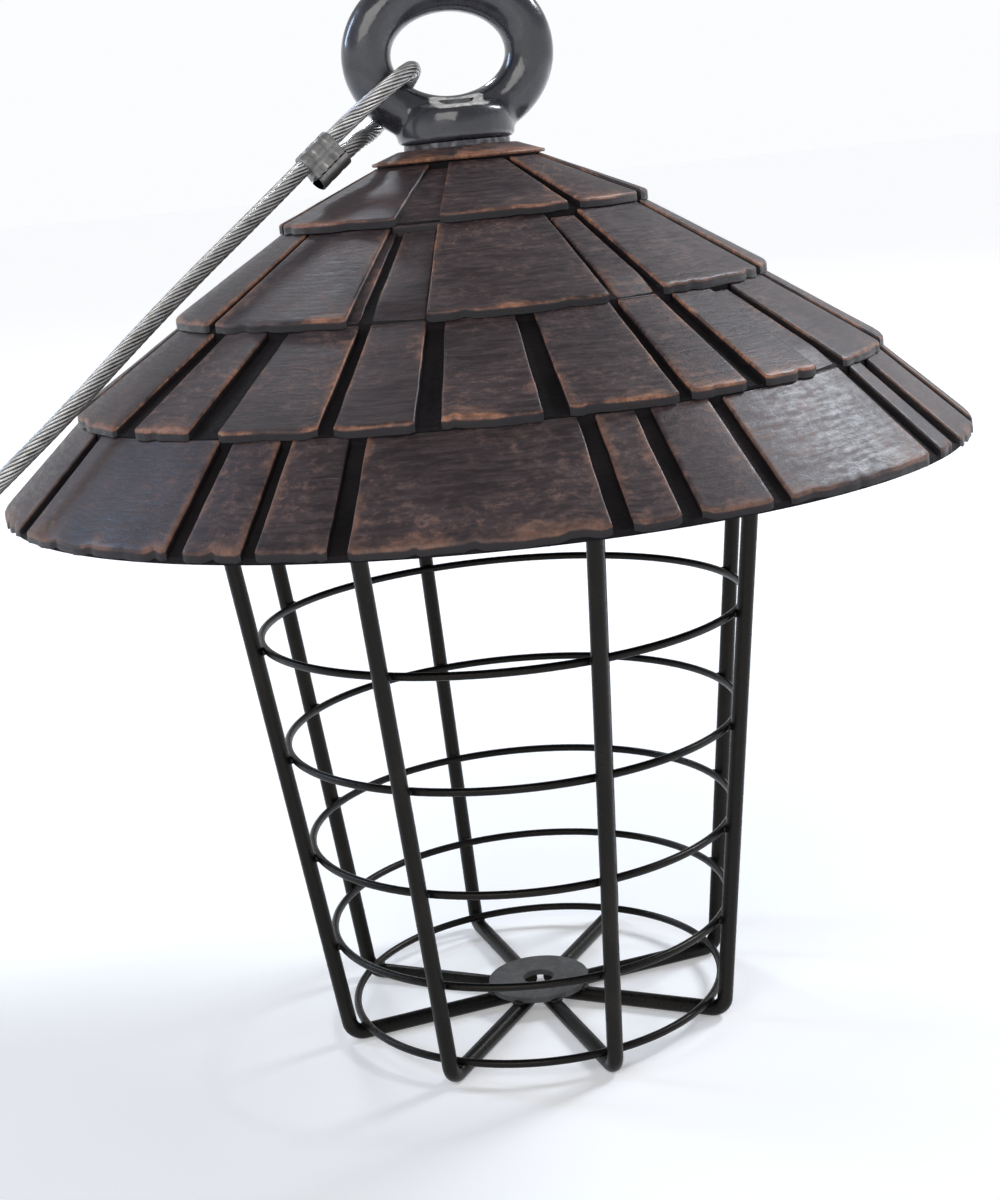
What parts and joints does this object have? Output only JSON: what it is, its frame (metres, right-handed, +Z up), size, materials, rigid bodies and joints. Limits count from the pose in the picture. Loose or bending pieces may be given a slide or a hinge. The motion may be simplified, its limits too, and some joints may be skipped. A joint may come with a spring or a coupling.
{
  "type": "hanging bird feeder",
  "caption": "Wire cage bird feeder under a shingled cone roof, hung by an eye nut on a looped steel rope; the roof lifts off for filling.",
  "frame": {"origin": "on the cage's axis, level with the underside of the bottom spokes", "axes": "+Z up along the axis of cage, roof and eye nut; -Y is the front, towards the viewer; +X to the viewer's right"},
  "size_m": [0.3331, 0.239, 0.2681],
  "materials": {
    "upright_wire": "satin black powder coat",
    "ring_wire": "satin black powder coat",
    "plate_grey": "charcoal coat",
    "strap_black": "satin black powder coat",
    "zinc_steel": "zinc plated",
    "deck_dark": "dark brown, matt",
    "shingle_copper": "aged copper look, worn edges",
    "eye_enamel": "gloss black enamel",
    "rope_steel": "stranded steel with a thin clear coat",
    "ferrule_grey": "pressed aluminium"
  },
  "bodies": {
    "cage": {"upright_1": "upright_wire", "upright_2": "upright_wire", "upright_3": "upright_wire", "upright_4": "upright_wire", "upright_5": "upright_wire", "upright_6": "upright_wire", "upright_7": "upright_wire", "upright_8": "upright_wire", "ring_1": "ring_wire", "ring_2": "ring_wire", "ring_3": "ring_wire", "ring_4": "ring_wire", "ring_5": "ring_wire", "top_ring": "ring_wire", "base_plate": "plate_grey", "hanger_strap": "strap_black", "hanger_stud": "zinc_steel", "lower_nut": "zinc_steel", "upper_nut": "zinc_steel", "rest_washer": "zinc_steel"},
    "roof": {"roof_deck": "deck_dark", "shingle_course_1": "shingle_copper", "shingle_course_2": "shingle_copper", "shingle_course_3": "shingle_copper", "shingle_course_4": "shingle_copper", "roof_cap": "shingle_copper"},
    "washer": {"top_washer": "zinc_steel"},
    "eye": {"eye_nut": "eye_enamel"},
    "rope": {"wire_rope": "rope_steel", "eye_ferrule": "ferrule_grey", "end_ferrule": "ferrule_grey"}
  },
  "joints": [
    {"name": "roof_lift", "type": "slide", "parent": "cage", "child": "roof", "axis": [0, 0, 1], "range_m": [0, 0.095]},
    {"name": "nut_rise", "type": "slide", "parent": "roof", "child": "washer", "axis": [0, 0, 1], "range_m": [0, 0.0105]},
    {"name": "nut_turn", "type": "hinge", "parent": "washer", "child": "eye", "pos_m": [0, 0, 0.2464], "axis": [0, 0, 1], "range_deg": [0, 2160]},
    {"name": "cable_swing", "type": "hinge", "parent": "eye", "child": "rope", "pos_m": [-0.01624, -0.00345, 0.23745], "axis": [-0.5955, -0.1266, 0.7934], "range_deg": [0, 150]}
  ],
  "couplings": [
    {"joint": "nut_rise", "follows": "nut_turn", "m_per_rad": 0.00027852}
  ]
}
